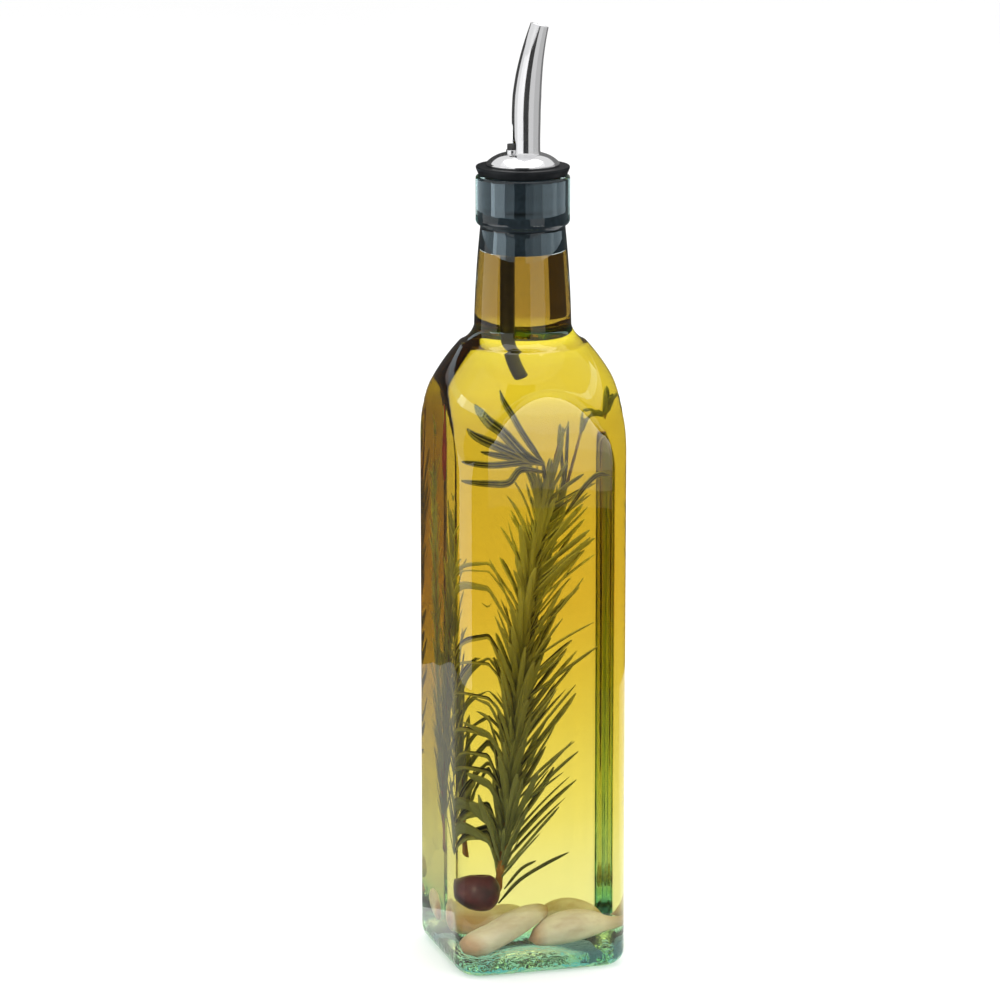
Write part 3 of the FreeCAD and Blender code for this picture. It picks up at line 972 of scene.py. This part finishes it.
def olive():
    """A dark olive with a small dimple where its stalk was."""
    low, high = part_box("olive")
    middle, half = (low + high) / 2, (high - low) / 2
    rings, count = [], 48
    for r in range(1, 32):
        a = math.pi * r / 32 - math.pi / 2
        dimple = 0.14 * math.exp(-((math.pi / 2 - a) / 0.22) ** 2)
        flat, rise = math.cos(a), math.sin(a) - dimple
        ring = []
        for k in range(count):
            t = 2 * math.pi * k / count
            reach = Vector((half.x * flat * math.cos(t), half.y * flat * math.sin(t), half.z * rise))
            ring.append(middle + reach * 0.995)
        rings.append(ring)
    start = middle + Vector((0, 0, -half.z * 0.995))
    end = middle + Vector((0, 0, half.z * 0.85))
    verts, faces = capped_rings(rings, start, end)
    make_object("olive_fruit", verts, faces, olive_material(), "bottle", ["olive"], "olive_skin")


olive()


def chili_material():
    material, tree, shader = new_material("chili_skin")
    patch = object_noise(tree, 240, 5, (1, 1, 0.4))
    skin = colour_ramp(tree, patch, [
        (0.3, (0.12, 0.012, 0.004)), (0.55, (0.30, 0.03, 0.010)), (0.78, (0.42, 0.07, 0.02))])
    tree.links.new(skin, shader.inputs["Base Color"])
    set_inputs(shader, {"Roughness": 0.35, "Specular IOR Level": 0.2})
    add_bump(tree, shader, patch, 0.3 * MM, 0.6)
    return material


def chili():
    """A dried chili: a thin wrinkled pod, narrowing to a bent point, with a short stalk."""
    low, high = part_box("dried_chili")
    middle = (low + high) / 2
    rows, count = 40, 24
    height = high.z - low.z
    rings = []
    for r in range(rows):
        t = (r + 0.5) / rows
        z = low.z + height * t
        body = math.sin(math.pi * min(1, t / 0.86) ** 0.8) ** 0.7 if t < 0.84 else 0.0
        radius = 2.4 * MM * max(body, 0.26 if t > 0.8 else 0.08)
        lean = 0.9 * MM * math.sin(2.4 * t)
        ring = []
        for k in range(count):
            a = 2 * math.pi * k / count
            wrinkle = 1 + 0.10 * math.sin(3 * a + 7 * t) + 0.05 * math.sin(7 * a - 11 * t)
            ring.append(Vector((middle.x + lean * 0.3 - 0.3 * MM + radius * wrinkle * 0.82 * math.cos(a),
                                middle.y + radius * wrinkle * math.sin(a) * 0.95, z)))
        rings.append(ring)
    start, end = sum(rings[0], Vector()) / count, sum(rings[-1], Vector()) / count
    verts, faces = capped_rings(rings, start, end)
    make_object("chili_pod", verts, faces, chili_material(), "bottle", ["dried_chili"], "chili_skin")


chili()


# ---------------------------------------------------------------- stage, light and camera

def floor_material():
    material, tree, shader = new_material("studio_floor")
    patch = object_noise(tree, 3, 2)
    tree.links.new(grey_ramp(tree, patch, [(0.3, 0.93), (0.7, 0.95)]), shader.inputs["Base Color"])
    set_inputs(shader, {"Roughness": 0.7, "Specular IOR Level": 0.1})
    return material


def floor():
    span = 30.0
    verts = [(-span, -span, 0), (span, -span, 0), (span, span, 0), (-span, span, 0)]
    return make_object("studio_floor", verts, [(0, 1, 2, 3)], floor_material())


floor()


def aim(obj, target):
    obj.rotation_euler = (Vector(target) - obj.location).to_track_quat("-Z", "Y").to_euler()


def softbox(name, place, target, width, height, power):
    lamp = bpy.data.lights.new(name, "AREA")
    lamp.shape = "RECTANGLE"
    lamp.size, lamp.size_y = width, height
    lamp.energy = power
    obj = bpy.data.objects.new(name, lamp)
    bpy.context.scene.collection.objects.link(obj)
    obj.location = place
    aim(obj, target)


def reflection_card(name, verts, faces, brightness, tint=(1, 1, 1)):
    """A card that is seen only where something mirrors it."""
    material, _, shader = new_material(name)
    set_inputs(shader, {"Base Color": (0.02, 0.02, 0.02, 1), "Roughness": 1.0,
                        "Emission Color": (*tint, 1), "Emission Strength": brightness})
    card = make_object(name, verts, faces, material)
    card.visible_camera = False
    card.visible_diffuse = False
    card.visible_transmission = False
    card.visible_shadow = False
    return card


def card_strip(start, end, step, edges):
    """A bent strip between two edges, each a distance and a height; bearings are from the camera's."""
    steps = max(2, int(abs(end - start) / step))
    verts = []
    for i in range(steps + 1):
        bearing = math.radians(start + (end - start) * i / steps) + CAMERA_AZIMUTH
        for distance, z in edges:
            verts.append((distance * math.sin(bearing), -distance * math.cos(bearing), z))
    faces = [(2 * i, 2 * i + 2, 2 * i + 3, 2 * i + 1) for i in range(steps)]
    return verts, faces


def reflector(name, start, end, low, high, brightness, distance=0.39, tint=(1, 1, 1)):
    """A standing card, from one bearing to another."""
    verts, faces = card_strip(start, end, 3, [(distance, low), (distance, high)])
    return reflection_card(name, verts, faces, brightness, tint)


def floor_reflector(name, start, end, near, far, brightness):
    """The part of the floor that shiny things see, as a card just above it."""
    verts, faces = card_strip(start, end, 6, [(near, 0.002), (far, 0.002)])
    reflection_card(name, verts, faces, brightness)


def reflectors():
    """What the glass and the steel mirror: dark surroundings with bright strips between them."""
    slate, white = (0.72, 0.9, 1.0), (1, 1, 1)
    tiers = [
        ("sky", 0.31, 0.75, 0.39, white, [(-180, 180, 0.78)]),
        ("pourer", 0.2435, 0.33, 0.13, white, [
            (-180, -106, 0.02), (-106, -75, 0.75), (-75, -23, 1.0), (-23, 19, 0.01), (19, 60, 0.62),
            (60, 116, 0.48), (116, 180, 0.15)]),
        ("ring", 0.2305, 0.2425, 0.11, slate, [
            (-180, -146, 0.1), (-146, -79, 1.3), (-79, -68, 6.0), (-68, -42, 3.6), (-42, -19, 1.2),
            (-19, 6, 0.01), (6, 24, 0.9), (24, 46, 1.3), (46, 74, 2.2), (74, 86, 2.8), (86, 120, 1.8),
            (120, 180, 0.1)]),
        ("neck", 0.15, 0.31, 0.39, white, [
            (-180, -114, 0.05), (-114, -62, 0.9), (-62, 18, 0.04), (18, 54, 0.9), (54, 180, 0.04)]),
        ("body", 0.0, 0.15, 0.39, white, [
            (-180, -92, 0.03), (-92, -36, 2.2), (-36, 24, 0.03), (60, 180, 0.03)]),
        ("arch_low", 0.0, 0.075, 0.39, white, [(24, 60, 0.03)]),
        ("arch_high", 0.135, 0.15, 0.39, white, [(24, 60, 0.03)]),
    ]
    for tier, low, high, distance, tint, strips in tiers:
        for i, (start, end, brightness) in enumerate(strips):
            reflector("%s_card_%d" % (tier, i), start, end, low, high, brightness, distance, tint)
    for i in range(8):
        low = 0.075 + 0.0075 * i
        reflector("arch_card_%d" % i, 24, 60, low, low + 0.0075, 0.3 + 0.65 * i)
    floor_reflector("front_floor_card", -60, 100, 0.09, 0.39, 0.08)
    floor_reflector("left_floor_card", -180, -60, 0.06, 0.39, 0.38)
    # seen only through the glass: the brown shade at the right of the neck
    dark = reflector("neck_shade", -156, -124, 0.09, 0.17, 0.10, 0.38, (1, 0.8, 0.5))
    dark.visible_transmission = True
    dark.visible_glossy = False


def lights():
    middle = (0, 0, 0.15)
    softbox("key_softbox", (-1.3, -1.0, 0.9), middle, 0.5, 1.4, 9)
    softbox("fill_softbox", (1.8, -0.8, 1.0), middle, 1.2, 1.4, 8)
    softbox("top_softbox", (0.1, 0.3, 1.9), middle, 1.6, 1.6, 14)


def world():
    light = bpy.data.worlds.new("studio")
    bpy.context.scene.world = light
    light.use_nodes = True
    back = light.node_tree.nodes["Background"]
    set_inputs(back, {"Color": (1, 1, 1, 1), "Strength": 1.0})


def camera():
    """Looks at the bottle from its left front, a little above it."""
    azimuth, elevation, distance = CAMERA_AZIMUTH, math.radians(13.19), 1.6166
    target = Vector((0, 0, GLASS_H / 2))
    back = Vector((math.sin(azimuth) * math.cos(elevation),
                   -math.cos(azimuth) * math.cos(elevation), math.sin(elevation)))
    data = bpy.data.cameras.new("camera")
    data.lens = 179.25
    obj = bpy.data.objects.new("camera", data)
    bpy.context.scene.collection.objects.link(obj)
    obj.location = target + back * distance
    aim(obj, (-0.0056, 0.0069, 0.1506))
    bpy.context.scene.camera = obj


def light_paths():
    """Plain colours, and enough bounces for light to pass through glass, oil and herbs."""
    scene = bpy.context.scene
    scene.view_settings.view_transform = "Standard"
    scene.cycles.max_bounces = 40
    scene.cycles.transmission_bounces = 36
    scene.cycles.glossy_bounces = 12
    scene.cycles.diffuse_bounces = 5
    scene.cycles.caustics_refractive = True
    scene.cycles.caustics_reflective = True


lights()
reflectors()
world()
camera()
light_paths()
